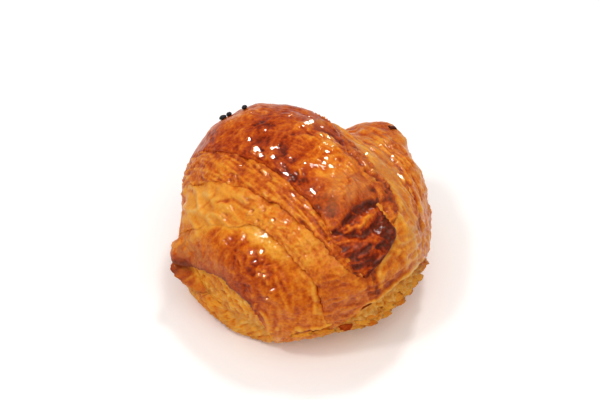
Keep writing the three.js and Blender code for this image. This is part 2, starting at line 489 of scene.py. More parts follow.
LOBE_POOLS = [
    (-50.1, 4, 1.4, 1.4), (-44.1, 10, 1.2, 1.4), (-37.6, 18, 1.4, 1.4), (-47.1, 21, 1.5, 1.8),
    (-43.1, 25, 1.8, 1.9), (-48.6, 27, 1.4, 1.4), (-50.1, 37, 1.2, 1.9), (-48.6, 40, 1.1, 2.1),
    (-48.6, 53, 1.5, 1.4), (-52.6, 58, 1.2, 1.4), (-65.6, -60, 1.4, 2.0),
]
RIGHT_POOLS = [
    (43.0, 14.5, 1.1, 4.4), (49.6, 3, 1.3, 1.3), (49.1, 8, 1.4, 1.6), (52.6, 7, 1.0, 1.2),
    (49.1, 16, 1.1, 1.2),
]

# Folds and creases that can be told apart: path of (mm along, degrees), half width, height, change of bake.
# In the entries marked below, that change is painted shade or a painted highlight.
CROWN_STROKES = [
    ([(9.7, -7), (16, -8), (21, -7.5), (25, -2)], 1.3, 1.4, -0.10),
    ([(9, -3.5), (15.5, -3.5), (18, -1), (17, 3)], 1.2, -1.0, 0.16),
    ([(3, -6), (-1, -6), (-4.7, -4), (-7.7, -1)], 1.2, -0.7, 0.14),
    ([(-7.7, 4), (-9.5, 7.5), (-13, 9)], 0.8, 0.8, -0.05),
    ([(-12.5, -6), (-13, 1), (-13, 9), (-13, 15)], 0.7, 0.6, 0.0),
    ([(-4.7, 20), (-8, 22), (-11, 26)], 0.9, 0.5, -0.05),
    ([(5.7, 22), (4, 25), (1.7, 28)], 0.8, 0.6, -0.06),
    ([(1, 21), (-0.7, 25), (-3.7, 26)], 0.8, 0.6, -0.05),
    ([(8.7, 11), (10.7, 14), (10, 20)], 0.8, -0.5, 0.08),
    # painted shade: this crease's darker line stands for the shadow under the terrace's overhanging step
    ([(-14, 38), (-8, 35), (-2.7, 33), (3.7, 34), (8, 36)], 1.2, -0.4, 0.12),
    ([(-8.7, 38), (-7.7, 40), (-3.7, 42), (1.7, 40), (5.7, 40)], 0.9, 0.9, -0.14),
    ([(-14, 38), (-9.7, 43), (-5.7, 45), (0, 46), (7.7, 46)], 1.1, -0.9, 0.12),
    ([(-14.5, 55), (-10.7, 53), (-5.7, 54), (0.7, 57)], 1.0, -0.8, 0.12),
]
THIRD_STROKES = [
    ([(-41, -10), (-36, -4), (-34.6, -1), (-33.7, 2), (-30, 2)], 0.7, -0.7, 0.24),
    ([(-50, -22), (-44, -18), (-39, -14)], 0.7, -0.5, 0.14),
    ([(-34, -3), (-31, 0), (-29, 1)], 1.5, 0.8, -0.05),
    ([(16, 46), (17, 52), (16, 59)], 0.9, 0.9, -0.08),
    ([(8, 58), (9.7, 65), (6.7, 67)], 0.8, 0.8, -0.06),
    # painted highlight: the paler streak along this ridge stands for a streak of light on it
    ([(35.6, 26), (33.7, 35)], 1.0, 0.9, -0.20),
    ([(24.7, 75), (15, 75), (8, 74)], 1.0, -0.8, 0.10),
]
FOURTH_STROKES = [
    ([(-59, 62), (-61.6, 70), (-60.6, 79)], 0.6, 0.8, -0.24),
    ([(-58, 71), (-56.6, 78), (-56, 88), (-55, 94), (-51.6, 91)], 0.7, 1.0, -0.30),
    ([(-31.7, 59), (-32, 67), (-33, 76), (-32.7, 83)], 0.8, 0.9, -0.18),
    # painted highlights: the paler streaks along these two ridges stand for streaks of light on them
    ([(-47.6, 37), (-49, 41), (-49.6, 47)], 0.6, 0.7, -0.12),
    ([(-48.6, 32), (-50.6, 38)], 0.5, 0.6, -0.10),
    ([(-53, 21), (-55.6, 28)], 0.7, 0.7, -0.14),
    ([(-63.6, -20), (-64, -8), (-66.6, -4), (-72.5, -11)], 0.6, 0.4, 0.12),
    ([(-56.6, 6), (-62.6, 8), (-65.6, 12)], 0.6, -0.3, 0.14),
    ([(-42, 92), (-38, 94), (-33.7, 94), (-27.7, 94)], 0.8, 1.2, -0.24),
    # painted highlight: the paler streak along this ridge stands for a streak of light on it
    ([(42.6, 8), (43, 21)], 1.1, 0.9, -0.20),
    ([(44.6, 19), (46.6, 32), (44.6, 44), (41.6, 54)], 0.8, -0.8, 0.15),
    ([(-65.5, -75), (-64.5, -40), (-60, -22)], 2.2, 0.0, 0.30),
]

# Rounded bumps and hollows of each turn: place, spread, height in mm.
CROWN_BUMPS = [
    ((8, 56), (4.5, 7), 1.8), ((-6, 53), (7, 5), 1.4), ((0, 47), (9, 3), -0.6),
    ((-12.5, 5), (2.6, 4.2), -1.9), ((-8, -12), (2.5, 3), -0.8),
]
FOURTH_BUMPS = [((-71, -66), (8, 22), 5.4), ((-67, -60), (4, 30), 0.8)]
CORE_BUMPS = [
    ((0, 30), (30, 40), -3.0), ((-72.5, -79), (6, 9), 7.0),
    ((-79, -88), (6, 13), 5.0), ((40, 100), (9, 12), 2.0),
]
CRUMB_BUMPS = [((29, 95), (5, 8), 2.6), ((-17, 106), (4, 5), -4.0)]

# Soft stains of each turn: place, spread, change of bake. A negative one is paler than its surroundings.
CROWN_STAINS = [
    ((11, 3), (7, 9), -0.20), ((13, 18), (7, 9), -0.16), ((7, 4), (4, 4), 0.10), ((1, 15), (6, 7), -0.32),
    ((-10, 59), (5, 6), 0.12), ((-3, -34), (12, 9), -0.10), ((-4, -12), (8, 10), 0.10),
    ((-12, 6), (4, 7), 0.12), ((-16, -40), (5, 12), 0.12), ((-11, 26), (3.5, 5), 0.18),
    ((1, 41), (9, 3.2), -0.12), ((8, 53), (6, 9), 0.34), ((-6, 60), (9, 7), 0.08), ((2, 31), (9, 6), 0.10),
]
SECOND_STAINS = [((19, 23), (4, 7), -0.16), ((17, 40), (5, 7), 0.16)]
THIRD_STAINS = [
    ((-34, 10), (5, 12), -0.08), ((-26, 41), (6, 12), -0.09), ((4, 66), (8, 8), -0.13),
    ((15, 80), (10, 6), -0.05), ((16, 66), (8, 12), -0.14),
]
FOURTH_STAINS = [((-40, 78), (9, 14), 0.10), ((-40, 50), (8, 12), 0.10), ((-75, -60), (6, 26), 0.36)]
CRUMB_STAINS = [((29, 95), (5, 8), 0.2), ((-17, 106), (4, 6), 0.4)]

# The degrees where the last turn drops its step.
terrace_line = smooth_table([-18, -14, -8, -3, 4, 8, 12], [38.5, 37.5, 34.5, 32.5, 33, 35, 36.5], 1.5)


def blotches(at, size, seed):
    """Patches with fairly sharp sides, about -1 to 1, with finer patches in them."""
    bend = np.stack([noise(at / size, seed + n) for n in range(3)], -1)
    where = at / size + 0.8 * bend
    return np.tanh(2.2 * noise(where, seed + 3)) * 0.6 + np.tanh(2.2 * noise(where * 2.7, seed + 4)) * 0.4


def broken(at, seed, size=6):
    """Where a thin line shows, from 0 to 1, so that no line runs unbroken."""
    return between(rough(at, size, seed, 2), -0.5, 0.3)


def strokes(f, lines):
    """The height and the change of bake that a list of folds and creases gives; for some folds that change is
    painted shade or a painted highlight.
    """
    q = f["q"] + 0.9 * noise(f["at"] / 3.5, 151)
    degrees = f["degrees"] + 1.1 * noise(f["at"] / 3.5, 152)
    strength = 0.35 + 0.65 * broken(f["at"], 153, 5)
    height, bake = np.zeros_like(q), np.zeros_like(q)
    for path, width, rise, tone in lines:
        nearest = np.full_like(q, 1e9)
        for (q0, d0), (q1, d1) in zip(path[:-1], path[1:]):
            step_q, step_d = q1 - q0, (d1 - d0) * DEGREE
            off_q, off_d = q - q0, (degrees - d0) * DEGREE
            part = np.clip((off_q * step_q + off_d * step_d) / (step_q ** 2 + step_d ** 2), 0, 1)
            nearest = np.minimum(nearest, (off_q - part * step_q) ** 2 + (off_d - part * step_d) ** 2)
        profile = strength * np.exp(-nearest / (1.25 * width) ** 2)
        height += rise * profile
        bake += 0.7 * tone * profile
    return height, bake


def shine(q, degrees, places):
    """The gloss of the pools: well over 1 on each of them."""
    return 2 * sum(spot(q, degrees, pool[:2], pool[2:]) for pool in places)


def pools(f, height, places, lamp):
    """Glaze that has set in small flat pools. Each pool shows the lamp to the viewer."""
    out = outward(f["q"], f["degrees"])
    q = f["q"] + 0.5 * noise(f["at"] / 1.7, 171)
    degrees = f["degrees"] + 0.6 * noise(f["at"] / 1.7, 172)
    lamp_at, eye = np.array(lamp_place(LAMPS[lamp])) / MM, np.array(VIEW_PLACE) / MM
    for along, around, width, length in places:
        mask = between(spot(q, degrees, (along, around), (1.15 * width, 1.15 * length)), 0.25, 0.45)
        if mask.sum() < 1:
            continue
        level = np.sum(mask * height) / mask.sum()
        middle = smooth_crust(along, around) + outward(along, around) * level
        to_lamp, to_eye = lamp_at - middle + CENTRE, eye - middle + CENTRE
        facing = to_lamp / np.linalg.norm(to_lamp) + to_eye / np.linalg.norm(to_eye)
        facing = facing / np.linalg.norm(facing)
        plane = ((middle - f["at"]) @ facing) / np.maximum(out @ facing, 0.3)
        height = height + mask * (plane - height)
    return height


def painted(bake, gloss, paper=0.0, blush=0.0):
    values = {"bake": bake, "gloss": gloss, "paper": paper, "blush": blush}
    return {key: np.clip(np.broadcast_to(value, bake.shape), 0, 1) for key, value in values.items()}


def places_of(f):
    return f["q"], f["degrees"], f["at"]


def crown_height(f):
    q, deg, at = places_of(f)
    golden = spot(q, deg, (11, 2), (9, 10)) + spot(q, deg, (2, 24), (10, 8))
    height = 1.0 + 0.9 * rough(at, 15, 21, 2) + 0.12 * rough(at, 3.0, 24, 2)
    height += (0.25 + 0.30 * golden) * crinkle(at, 5, 23) + 0.35 * golden * folds(q, deg, 1.8, 6, 27)
    height += 0.5 * domes(at, 4.2, 25) * between(rough(at, 9, 26, 1), 0.0, 0.5) * (1 - golden)
    past = deg - terrace_line(q)
    height += 1.1 * hump(past, -8, 7) - 3.0 * between(past, -1.0, 3.4) * np.exp(-np.clip(past, 0, 90) / 16)
    wrinkles = 0.7 * folds(q + 0.3 * deg, deg, 12, 3.6, 31) + 0.4 * crinkle(at, 6, 33)
    height += between(past, 0, 3) * wrinkles * (1 - 0.6 * spot(q, deg, (7, 54), (6, 8)))
    height += mounds(q, deg, CROWN_BUMPS) + strokes(f, CROWN_STROKES)[0]
    height += 0.10 * grooves(f["left"], 0.9, at) - 0.7 * fade(f["left"], 3.0) - 0.6 * fade(f["right"], 3.5)
    return pools(f, height, CROWN_POOLS, "window")


def crown_paint(f):
    q, deg, at = places_of(f)
    lower = between(deg - terrace_line(q), -1.5, 1.5)
    bake = 0.66 + 0.09 * rough(at, 8, 41, 4) + 0.13 * blotches(at, 6, 48)
    bake -= (0.07 + 0.05 * lower) * crinkle(at, 5, 23)
    bake += mounds(q, deg, CROWN_STAINS) + strokes(f, CROWN_STROKES)[1]
    bake += lower * (0.10 + 0.05 * blotches(at, 4, 45)) + 0.14 * fade(f["right"] - 2.5, 1.5)
    bake -= 0.45 * fade(f["right"], 0.55) * between(deg, -12, -2) * (1 - between(deg, 34, 44))
    paper = 0.9 * spot(q, deg, (2, 24), (11, 8)) * between(rough(at, 5, 43, 3), -1.0, 0.7)
    gloss = 0.42 - 0.4 * paper - 0.3 * spot(q, deg, (7, 2), (5, 6)) + 0.4 * rough(at, 6, 46, 3)
    blush = 0.75 * spot(q, deg, (18, -8), (4, 5)) + 0.8 * paper * between(crinkle(at, 3.5, 47), 0.2, 0.9)
    return painted(bake, gloss + shine(q, deg, CROWN_POOLS), paper * (1 - lower), blush)


def second_height(f):
    q, deg, at = places_of(f)
    height = 0.3 + under_cover(f, (crown_left, crown_right), 0.6, 3.5)
    height += 0.3 * rough(at, 8, 51, 3) + 0.22 * domes(at, 2.2, 53) + 0.22 * rough(at, 2.4, 54, 2)
    ridge = spot(q, deg, (-27, -32), (2.6, 14))
    wrinkles = 0.9 * folds(q, deg, 2.4, 14, 55) * broken(at, 58, 7) + 0.5 * crinkle(at, 4, 56)
    height += ridge + (1 - ridge) * wrinkles
    height += between(q, 10, 16) * (folds(q, deg, 2.4, 8, 57) + 1.3 * rough(at, 3, 59, 2))
    beside = crown_left(deg) - q
    height += 0.24 * grooves(beside, 1.4, at) * between(beside, -1, 1)
    height += 0.10 * grooves(f["left"], 0.8, at) - 0.2 * fade(f["left"], 2)
    return pools(f, height, SECOND_POOLS, "window")


def second_paint(f):
    q, deg, at = places_of(f)
    right_side = between(q, 10, 16)
    beside = crown_left(deg) - q
    # painted shade: the 0.10 * fade(beside, 2.5) term darkens the seam beside the crown's edge, where the
    # crown shades it
    bake = 0.56 + 0.08 * rough(at, 5, 61, 4) + 0.09 * blotches(at, 4, 64) + 0.10 * fade(beside, 2.5)
    bake += mounds(q, deg, SECOND_STAINS) - 0.02 * spot(q, deg, (-27, -32), (2.6, 14))
    bake -= 0.16 * broken(at, 66, 5) * fade(f["left"] - 1.4, 0.6) * (1 - between(deg, 25, 35))
    bake += 0.22 * broken(at, 62) * fade(f["left"], 0.6) * between(deg, -10, 10)
    bake += 0.08 * grooves(beside, 1.4, at) - 0.13 * folds(q, deg, 2.4, 14, 55)
    bake += 0.20 * right_side * (1 + 0.6 * blotches(at, 3, 65))
    gloss = 0.4 + 0.5 * rough(at, 3, 63, 2) + shine(q, deg, SECOND_POOLS)
    return painted(bake, gloss, 0.1, 0.25 * right_side)


def third_height(f):
    q, deg, at = places_of(f)
    left_side = 1 - between(q, -30, -14)
    height = 0.3 + under_cover(f, (second_left, second_right), 0.8, 4.0)
    height += 0.5 * rough(at, 12, 71, 3) + 0.10 * rough(at, 1.6, 72, 2)
    height += 1.4 * left_side * (1 - between(deg, -8, 10)) * folds(q + 0.12 * deg, deg, 6, 18, 73)
    wrinkles = 0.2 * domes(at, 2.0, 75) + 0.7 * crinkle(at, 3.5, 74) + 0.5 * folds(q, deg, 2.4, 12, 76)
    height += left_side * between(deg, 0, 14) * (1 - between(deg, 46, 62)) * wrinkles
    wrinkles = 0.7 * folds(q - 0.05 * deg, deg, 3.6, 18, 77) * broken(at, 85, 11) + 0.4 * crinkle(at, 5, 78)
    height += between(q, 12, 20) * wrinkles
    wrinkles = 0.5 * folds(q - 0.5 * deg, deg, 9, 4, 79) + 0.5 * crinkle(at, 5, 80)
    height += between(deg, 50, 60) * wrinkles
    height += spot(q, deg, (5, 74), (26, 5)) + strokes(f, THIRD_STROKES)[0]
    height += 0.8 * hump(deg - ledge_line(q), -1.6, 1.2) * between(q, -22, -10)
    height += 0.22 * grooves(f["left"], 1.0, at) + 0.12 * grooves(f["right"], 1.0, at)
    return pools(f, height, THIRD_POOLS, "window")


def third_paint(f):
    q, deg, at = places_of(f)
    left_side = 1 - between(q, -30, -14)
    pale = spot(q, deg, (-47, -26), (12, 28))
    bake = 0.43 + 0.06 * rough(at, 6, 81, 4) + 0.08 * blotches(at, 5, 86)
    bake += mounds(q, deg, THIRD_STAINS) + strokes(f, THIRD_STROKES)[1]
    bake += pale * (0.10 * between(rough(at, 4, 92, 2), 0.1, 0.8) - 0.30)
    bake += 0.12 * (1 - between(deg, -95, -60))
    bake += 0.11 * between(deg, 45, 62) * (1 - between(q, 6, 16))
    bake -= 0.10 * between(q, 12, 20) * folds(q - 0.05 * deg, deg, 3.6, 18, 77)
    beside = q - second_right(deg)
    seam = 0.42 * fade(beside - 1.0, 0.9) - 0.24 * fade(beside - 3.4, 1.2)
    bake += (1 - left_side) * seam * (0.3 + 0.7 * broken(at, 91, 9))
    crease = left_side * fade(q - second_left(deg), 0.7) * between(deg, -10, 10)
    bake += 0.26 * broken(at, 82) * crease + 0.16 * grooves(f["left"], 1.0, at) * broken(at, 84)
    bake += 0.42 * fade(f["right"] - 1.8, 0.9) * (0.3 + 0.7 * broken(at, 90, 9))
    bake -= 0.20 * fade(f["right"] - 0.4, 0.6)
    to_ledge = deg - ledge_line(q)
    # painted highlight: the raised rim along the ledge is painted paler, as the light that catches its edge
    rim = hump(to_ledge, -1.5, 1.3) * between(q, -22, -10) * (0.4 + 0.6 * broken(at, 87, 5))
    bake += 0.044 * hump(to_ledge, -4.5, 2) - 0.42 * rim
    gloss = 0.35 + 0.4 * rough(at, 4, 83, 2) + 0.2 * between(q, 12, 20) - 0.2 * pale
    gloss += shine(q, deg, THIRD_POOLS)
    streaks = folds(q + 0.1 * deg, deg, 3.2, 22, 88) + 0.5 * rough(at, 5, 89, 2)
    dry = between(q, 14, 20) * between(streaks, 0.3, 0.9)
    return painted(bake, gloss, 0.12 + 0.10 * pale + 0.35 * dry, 0.1 * dry)


def fourth_height(f):
    q, deg, at = places_of(f)
    left_side = 1 - between(q, -20, 0)
    centre = spot(q, deg, (-50, 30), (14, 34))
    height = 0.4 + under_cover(f, (third_left, third_right), 1.1, 3.0)
    height += 0.8 * rough(at, 14, 91, 3) + 0.20 * rough(at, 2.2, 92, 2)
    wrinkles = (0.2 + 0.6 * centre) * crinkle(at, 5, 93) + (0.15 + 0.30 * centre) * domes(at, 3.6, 99)
    wrinkles += 0.5 * folds(q, deg, 3.2, 16, 94) * between(deg, 35, 60) - 0.5 * fade(q - third_left(deg), 0.8)
    height += left_side * wrinkles
    wrinkles = folds(q, deg, 4, 24, 95) * broken(at, 98, 11) + 0.35 * domes(at, 4.0, 96)
    wrinkles += 0.3 * crinkle(at, 4, 97) - 0.9 * fade(q - third_right(deg), 1.4)
    height += (1 - left_side) * wrinkles
    height += mounds(q, deg, FOURTH_BUMPS) + strokes(f, FOURTH_STROKES)[0]
    height += 0.5 * fade(f["left"], 3) + 0.10 * grooves(f["left"], 0.9, at)
    height = pools(f, height, LOBE_POOLS, "ceiling_spot")
    return pools(f, height, RIGHT_POOLS, "window")


def fourth_paint(f):
    q, deg, at = places_of(f)
    right_side = between(q, 20, 30)
    crest = third_left(deg) - q
    skin = spot(q, deg, (-68, -30), (7, 48))
    bake = 0.42 + 0.06 * rough(at, 8, 101, 4) + 0.06 * blotches(at, 5, 111) + 0.05 * f["edge"]
    bake += mounds(q, deg, FOURTH_STAINS) + strokes(f, FOURTH_STROKES)[1] + 0.06 * skin
    bake += spot(q, deg, (-54, 30), (12, 34)) * (0.26 + 0.09 * blotches(at, 7, 103))
    bake -= 0.26 * hump(crest, 4, 3.5) * (1 - between(deg, 20, 50)) * between(crest, 0.5, 2)
    bake += 0.28 * broken(at, 102) * fade(crest, 0.8) * between(deg, -6, 14)
    patches = 0.02 + 0.12 * blotches(at, 5, 113) + 0.06 * rough(at, 5, 107, 3)
    bake += right_side * (patches + 0.12 * spot(q, deg, (56, -14), (10, 20)))
    bake += 0.5 * right_side * (0.3 + 0.7 * broken(at, 112)) * fade(q - third_right(deg) - 0.8, 0.9)
    paper = 0.95 * skin * between(blotches(at, 5, 105), -0.5, 0.3)
    paper += 0.6 * spot(q, deg, (-52, 70), (5, 16)) * between(rough(at, 4, 106, 3), -0.5, 0.8)
    end_face = fade(f["left"], 3.2) * (1 - right_side) * (1 - between(deg, 60, 100))
    bake += 0.40 * end_face - 0.1 * paper
    gloss = 0.35 + 0.25 * right_side + 0.4 * rough(at, 5, 109, 2) - 0.3 * paper
    gloss += shine(q, deg, LOBE_POOLS + RIGHT_POOLS)
    streaks = folds(q, deg, 3.4, 24, 114) + 0.5 * rough(at, 5, 115, 2)
    paper += 0.35 * right_side * between(streaks, 0.3, 0.9)
    blush = 0.5 * end_face + skin * (0.05 + 0.5 * between(crinkle(at, 4, 110), 0.3, 0.7))
    return painted(bake, gloss, paper, blush)


def core_streaks(q, deg, at):
    return folds(q + 1.5 * noise(at / 5, 116), deg, 2.4, 22, 113)


def core_height(f):
    q, deg, at = places_of(f)
    height = -2.6 + 0.5 * rough(at, 9, 111, 3) + 0.25 * rough(at, 1.8, 115, 2)
    height += 0.8 * core_streaks(q, deg, at) + 0.7 * crinkle(at, 3, 114)
    return height + 2.6 * between(np.abs(deg), 95, 150) + mounds(q, deg, CORE_BUMPS)


def core_paint(f):
    q, deg, at = places_of(f)
    tip = spot(q, deg, (-72, -80), (7, 10))
    bake = 0.33 + 0.08 * rough(at, 5, 121, 4) + 0.15 * blotches(at, 3, 123) - 0.10 * core_streaks(q, deg, at)
    bake -= 0.18 * spot(q, deg, (-60, 60), (9, 60)) * broken(at, 124, 4)
    bake -= 0.16 * spot(q, deg, (-62, 112), (14, 12))
    bake += 0.55 * tip + 0.18 * spot(q, deg, (-79, -88), (6, 12))
    bake += 0.15 * between(np.abs(deg), 150, 175) * (1 - tip)
    paper = 0.5 * between(blotches(at, 6, 125), -0.2, 0.5) * (1 - tip)
    return painted(bake, 0.3 + 0.3 * tip, paper, 0.45 * spot(q, deg, (-76, -84), (10, 18)))


def crumb_height(f):
    q, deg, at = places_of(f)
    height = -2.0 + 0.9 * rough(at, 6, 131, 3) - 0.9 * domes(at, 3.2, 135) + 0.6 * crinkle(at, 3.0, 136)
    height += 2.2 * folds(q, deg, 8, 2.0, 133) * broken(at, 138, 4)
    height -= 1.6 * (1 - between(deg - ledge_line(q), 1.0, 6.0))
    return height + mounds(q, deg, CRUMB_BUMPS)


def crumb_paint(f):
    q, deg, at = places_of(f)
    bake = 0.23 + 0.14 * rough(at, 3, 137, 4) + 0.16 * blotches(at, 3, 139) + 0.15 * domes(at, 2.4, 135)
    bake += mounds(q, deg, CRUMB_STAINS) - 0.22 * folds(q, deg, 8, 2.0, 133)
    paper = 0.1 + 0.5 * between(rough(at, 3, 140, 3), 0, 0.6)
    return painted(bake, 0.2, paper, 0.5 * spot(q, deg, (29, 93), (6, 6)))


# ======================= materials =======================
BAKE_COLOURS = [
    (0.00, (0.86, 0.52, 0.15)),
    (0.15, (0.84, 0.41, 0.06)),
    (0.30, (0.80, 0.33, 0.035)),
    (0.45, (0.70, 0.20, 0.012)),
    (0.58, (0.55, 0.105, 0.005)),
    (0.70, (0.40, 0.045, 0.002)),
    (0.82, (0.20, 0.016, 0.003)),
    (0.92, (0.10, 0.010, 0.004)),
    (1.00, (0.035, 0.007, 0.006)),
]
PAPER_COLOUR = (0.62, 0.25, 0.075)
BLUSH_COLOUR = (0.40, 0.11, 0.055)


def new_material(name):
    material = bpy.data.materials.new(name)
    material.use_nodes = True
    nodes, links = material.node_tree.nodes, material.node_tree.links
    return material, nodes, links, nodes["Principled BSDF"]


def add_node(nodes, kind, **settings):
    node = nodes.new(kind)
    for key, value in settings.items():
        setattr(node, key, value)
    return node


def paint_reader(nodes, name):
    return add_node(nodes, "ShaderNodeAttribute", attribute_name=name).outputs["Fac"]


def arithmetic(nodes, links, operation, a, b, clamp=False):
    node = add_node(nodes, "ShaderNodeMath", operation=operation, use_clamp=clamp)
    for socket, value in zip(node.inputs, (a, b)):
        if isinstance(value, (int, float)):
            socket.default_value = value
        else:
            links.new(value, socket)
    return node.outputs[0]


def colour_mix(nodes, links, factor, first, second):
    node = add_node(nodes, "ShaderNodeMix", data_type="RGBA")
    links.new(factor, node.inputs["Factor"])
    for socket, value in ((node.inputs[6], first), (node.inputs[7], second)):
        if isinstance(value, tuple):
            socket.default_value = (*value, 1)
        else:
            links.new(value, socket)
    return node.outputs[2]


def noise_node(nodes, links, where, scale, detail=4.0):
    node = add_node(nodes, "ShaderNodeTexNoise")
    node.inputs["Scale"].default_value = scale
    node.inputs["Detail"].default_value = detail
    links.new(where, node.inputs["Vector"])
    return node.outputs["Fac"]


def add_bump(nodes, links, height, strength, distance):
    bump = add_node(nodes, "ShaderNodeBump")
    bump.inputs["Strength"].default_value = strength
    bump.inputs["Distance"].default_value = distance
    links.new(height, bump.inputs["Height"])
    return bump


def crust_material(name, coat, fine_bump, sparkle_bump):
    """Baked dough: paint of the mesh picks the colour, the glaze and the paper-dry patches."""
    material, nodes, links, shader = new_material(name)
    where = nodes.new("ShaderNodeTexCoord").outputs["Object"]
    fine = noise_node(nodes, links, where, 900)
    broad = noise_node(nodes, links, where, 260)
    shift = arithmetic(nodes, links, "MULTIPLY_ADD", broad, 0.28)
    shift.node.inputs[2].default_value = -0.14
    grain = arithmetic(nodes, links, "MULTIPLY_ADD", fine, 0.36)
    grain.node.inputs[2].default_value = -0.18
    bake = arithmetic(nodes, links, "ADD", paint_reader(nodes, "bake"), shift)
    bake = arithmetic(nodes, links, "ADD", bake, grain, clamp=True)
    ramp = add_node(nodes, "ShaderNodeValToRGB")
    while len(ramp.color_ramp.elements) < len(BAKE_COLOURS):
        ramp.color_ramp.elements.new(0.5)
    for element, (place, colour) in zip(ramp.color_ramp.elements, BAKE_COLOURS):
        element.position = place
        element.color = (*colour, 1)
    links.new(bake, ramp.inputs["Fac"])
    paper = paint_reader(nodes, "paper")
    colour = colour_mix(nodes, links, paper, ramp.outputs["Color"], PAPER_COLOUR)
    blush = paint_reader(nodes, "blush")
    colour = colour_mix(nodes, links, blush, colour, BLUSH_COLOUR)
    links.new(colour, shader.inputs["Base Color"])
    gloss = paint_reader(nodes, "gloss")
    dull = arithmetic(nodes, links, "MULTIPLY_ADD", gloss, -0.30)
    dull.node.inputs[2].default_value = 0.62
    links.new(dull, shader.inputs["Roughness"])
    links.new(arithmetic(nodes, links, "MULTIPLY", gloss, coat, clamp=True), shader.inputs["Coat Weight"])
    shader.inputs["Coat Roughness"].default_value = 0.05
    shader.inputs["Specular IOR Level"].default_value = 0.4
    shader.inputs["Specular Tint"].default_value = (1.0, 0.45, 0.08, 1)
    bump = add_bump(nodes, links, arithmetic(nodes, links, "ADD", fine, broad), fine_bump, 0.0005)
    links.new(bump.outputs["Normal"], shader.inputs["Normal"])
    glitter = noise_node(nodes, links, where, 550, 2.0)
    sparkle = add_bump(nodes, links, glitter, sparkle_bump, 0.0003)
    links.new(sparkle.outputs["Normal"], shader.inputs["Coat Normal"])
    shader.inputs["Subsurface Weight"].default_value = 0.12
    shader.inputs["Subsurface Radius"].default_value = (1.0, 0.35, 0.12)
    shader.inputs["Subsurface Scale"].default_value = 0.0025
    return material


def seed_material():
    """Black sesame: nearly black with a faint blue-grey bloom and a fine skin."""
    material, nodes, links, shader = new_material("sesame_black")
    where = nodes.new("ShaderNodeTexCoord").outputs["Object"]
    bloom = noise_node(nodes, links, where, 1500)
    colour = colour_mix(nodes, links, bloom, (0.004, 0.004, 0.005), (0.03, 0.035, 0.045))
    links.new(colour, shader.inputs["Base Color"])
    links.new(arithmetic(nodes, links, "MULTIPLY_ADD", bloom, 0.3), shader.inputs["Roughness"])
    bump = add_bump(nodes, links, bloom, 0.3, 0.0002)
    links.new(bump.outputs["Normal"], shader.inputs["Normal"])
    return material


def floor_material():
    material, nodes, links, shader = new_material("pale_floor")
    shader.inputs["Base Color"].default_value = (0.93, 0.90, 0.885, 1)
    shader.inputs["Roughness"].default_value = 0.55
    shader.inputs["Emission Color"].default_value = (0.86, 0.95, 1.0, 1)
    shader.inputs["Emission Strength"].default_value = 0.10
    return material


# ======================= the pieces =======================
def finish_piece(piece, material, node):
    piece.data.materials.append(material)
    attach(piece, "root")
    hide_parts(node)
    return piece


def build_turns():
    glazed = crust_material("glazed_crust", 1.0, 0.4, 0.06)
    flaky = crust_material("flaky_crust", 0.8, 1.0, 0.5)
    golden = crust_material("golden_crust", 0.9, 0.8, 0.3)
    torn = crust_material("torn_crumb", 0.1, 0.9, 0.9)
    every = (-180, 180)
    crumb_left = border([(80, -26), (128, -32)], 0.8, 19)
    crumb_right = border([(80, 30), (96, 38), (128, 30)], 0.8, 20)
    turns = [
        (whole_roll("inner_roll", core_height, core_paint, 0.8), torn),
        (shell("fourth_turn", end_left, end_right, every, fourth_height, fourth_paint, (3.4, 2.6),
               cover=(third_left, third_right), spacing=0.55), golden),
        (shell("front_crumb", crumb_left, crumb_right, (79, 130), crumb_height, crumb_paint, (2, 2),
               spacing=0.45), torn),
        (shell("third_turn", third_left, third_right, (-172, 90), third_height, third_paint, (1.6, 2.0),
               soft=1.4, cover=(second_left, second_right), ledge=ledge_line, spacing=0.5), golden),
        (shell("second_turn", second_left, second_right, (-174, 68), second_height, second_paint, (1.4, 2.0),
               soft=1.4, cover=(crown_left, crown_right), spacing=0.48), flaky),
        (shell("crown_turn", crown_left, crown_right, (-176, 70), crown_height, crown_paint, (2.4, 4.0),
               soft=1.2, spacing=0.42), glazed),
    ]
    for piece, material in turns:
        finish_piece(piece, material, "croissant")
    build_flakes(golden)


SEED_LENGTH, SEED_WIDTH, SEED_THICKNESS = 3.6, 2.5, 2.0
SEEDS = {
    "sesame_seed_1": ((-3.5, -57), 20),
    "sesame_seed_2": ((-1.8, -51), 75),
    "sesame_seed_3": ((-4.9, -51.5), -40),
    "sesame_seed_4": ((5.5, -49), 50),
}


def crown_facts(q, degrees):
    q, degrees = np.atleast_1d(float(q)), np.atleast_1d(float(degrees))
    facts = {"q": q, "degrees": degrees, "at": smooth_crust(q, degrees), "edge": np.zeros_like(q)}
    facts["left"], facts["right"] = q - crown_left(degrees), crown_right(degrees) - q
    return facts


def seed_skin(name, place, turn):
    """A flat drop, pointed at one end, half sunk in the glaze of the top turn."""
    facts = crown_facts(*place)
    lift = crown_height(facts) + 0.42 * SEED_THICKNESS
    middle = lay(facts["q"], facts["degrees"], lift)[0]
    out = outward(facts["q"], facts["degrees"])[0]
    level = np.cross(out, [1.0, 0.0, 0.0])
    level /= np.linalg.norm(level)
    aim = np.cross(level, out) * math.cos(math.radians(turn)) + level * math.sin(math.radians(turn))
    side = np.cross(out, aim)
    rings, sides = 26, 28
    share = np.linspace(0.02, 0.98, rings)[:, None]
    girth = np.sqrt(np.sin(np.pi * share ** 1.35)) * (1 - 0.35 * share)
    angle = np.linspace(0, 2 * np.pi, sides, endpoint=False)[None, :]
    ridge = 1 + 0.03 * np.sin(7 * angle + 9 * share)
    a = (share - 0.5) * SEED_LENGTH + 0 * angle
    b = 0.62 * SEED_WIDTH * girth * np.cos(angle) * ridge
    c = 0.60 * SEED_THICKNESS * girth * np.sin(angle) * ridge
    points = middle + (a[..., None] * aim + b[..., None] * side + c[..., None] * out) * MM
    return mesh_piece(name + "_skin", points, ring_faces(rings, sides, False), {})


def build_seeds():
    black = seed_material()
    for name, (place, turn) in SEEDS.items():
        finish_piece(seed_skin(name, place, turn), black, name)


